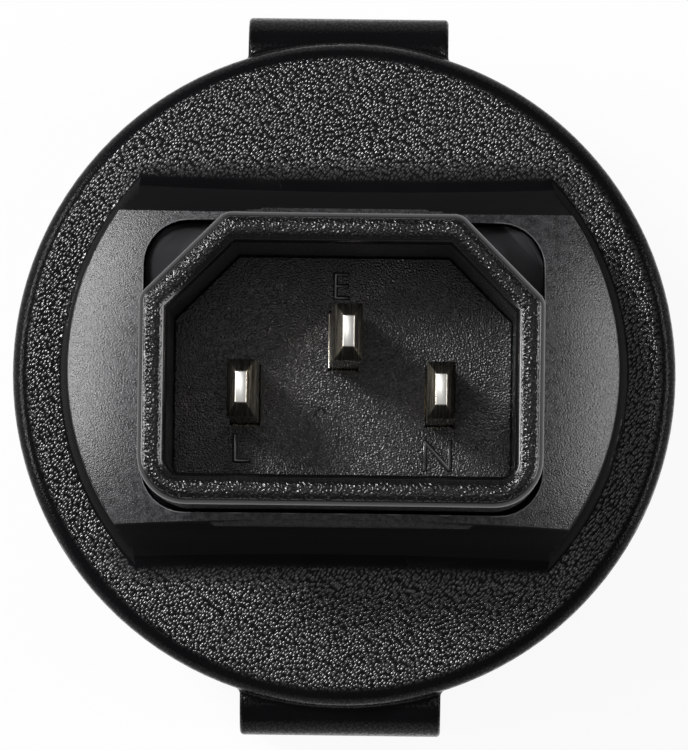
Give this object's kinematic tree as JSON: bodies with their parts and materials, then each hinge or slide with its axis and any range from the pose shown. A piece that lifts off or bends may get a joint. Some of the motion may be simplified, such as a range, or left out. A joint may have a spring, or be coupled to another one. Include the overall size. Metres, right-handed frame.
{
  "type": "socket to inlet adapter",
  "caption": "Moulded adapter with a round earthed mains socket on one end and a three-pin appliance inlet on the other.",
  "frame": {"origin": "middle of the socket's mouth, on the plane that the adapter stands on", "axes": "+Z along the adapter's axis from the socket's mouth towards the inlet's rim; +Y towards the inlet's earth pin; the line and neutral pins lie along X"},
  "size_m": [0.0485, 0.053, 0.062],
  "materials": {
    "body_moulding": "black flexible moulding with a coarse leather grain on the drum and a fine spark grain on the neck",
    "inlet_plastic": "black hard plastic, smooth outside with a fine grain on the rim",
    "carrier_plastic": "black hard plastic with a fine matte grain",
    "socket_plastic": "black hard plastic, satin",
    "pin_metal": "nickel plated brass, drawn along its length",
    "contact_brass": "bare rolled brass strip",
    "clip_metal": "nickel plated spring strip",
    "spring_steel": "bare spring steel",
    "screw_steel": "zinc plated steel"
  },
  "bodies": {
    "root": {"outer_body": "body_moulding", "inlet_shroud": "inlet_plastic", "pin_carrier": "carrier_plastic", "line_pin": "pin_metal", "neutral_pin": "pin_metal", "earth_pin": "pin_metal", "pin_retainer": "carrier_plastic", "socket_cup": "socket_plastic", "contact_cover": "socket_plastic", "cover_screws": "screw_steel", "line_contact": "contact_brass", "neutral_contact": "contact_brass", "line_contact_spring": "spring_steel", "neutral_contact_spring": "spring_steel", "line_link": "contact_brass", "neutral_link": "contact_brass", "earth_link": "contact_brass", "earth_strap": "contact_brass", "upper_earth_clip": "clip_metal", "lower_earth_clip": "clip_metal", "earth_rivets": "screw_steel"}
  },
  "joints": []
}
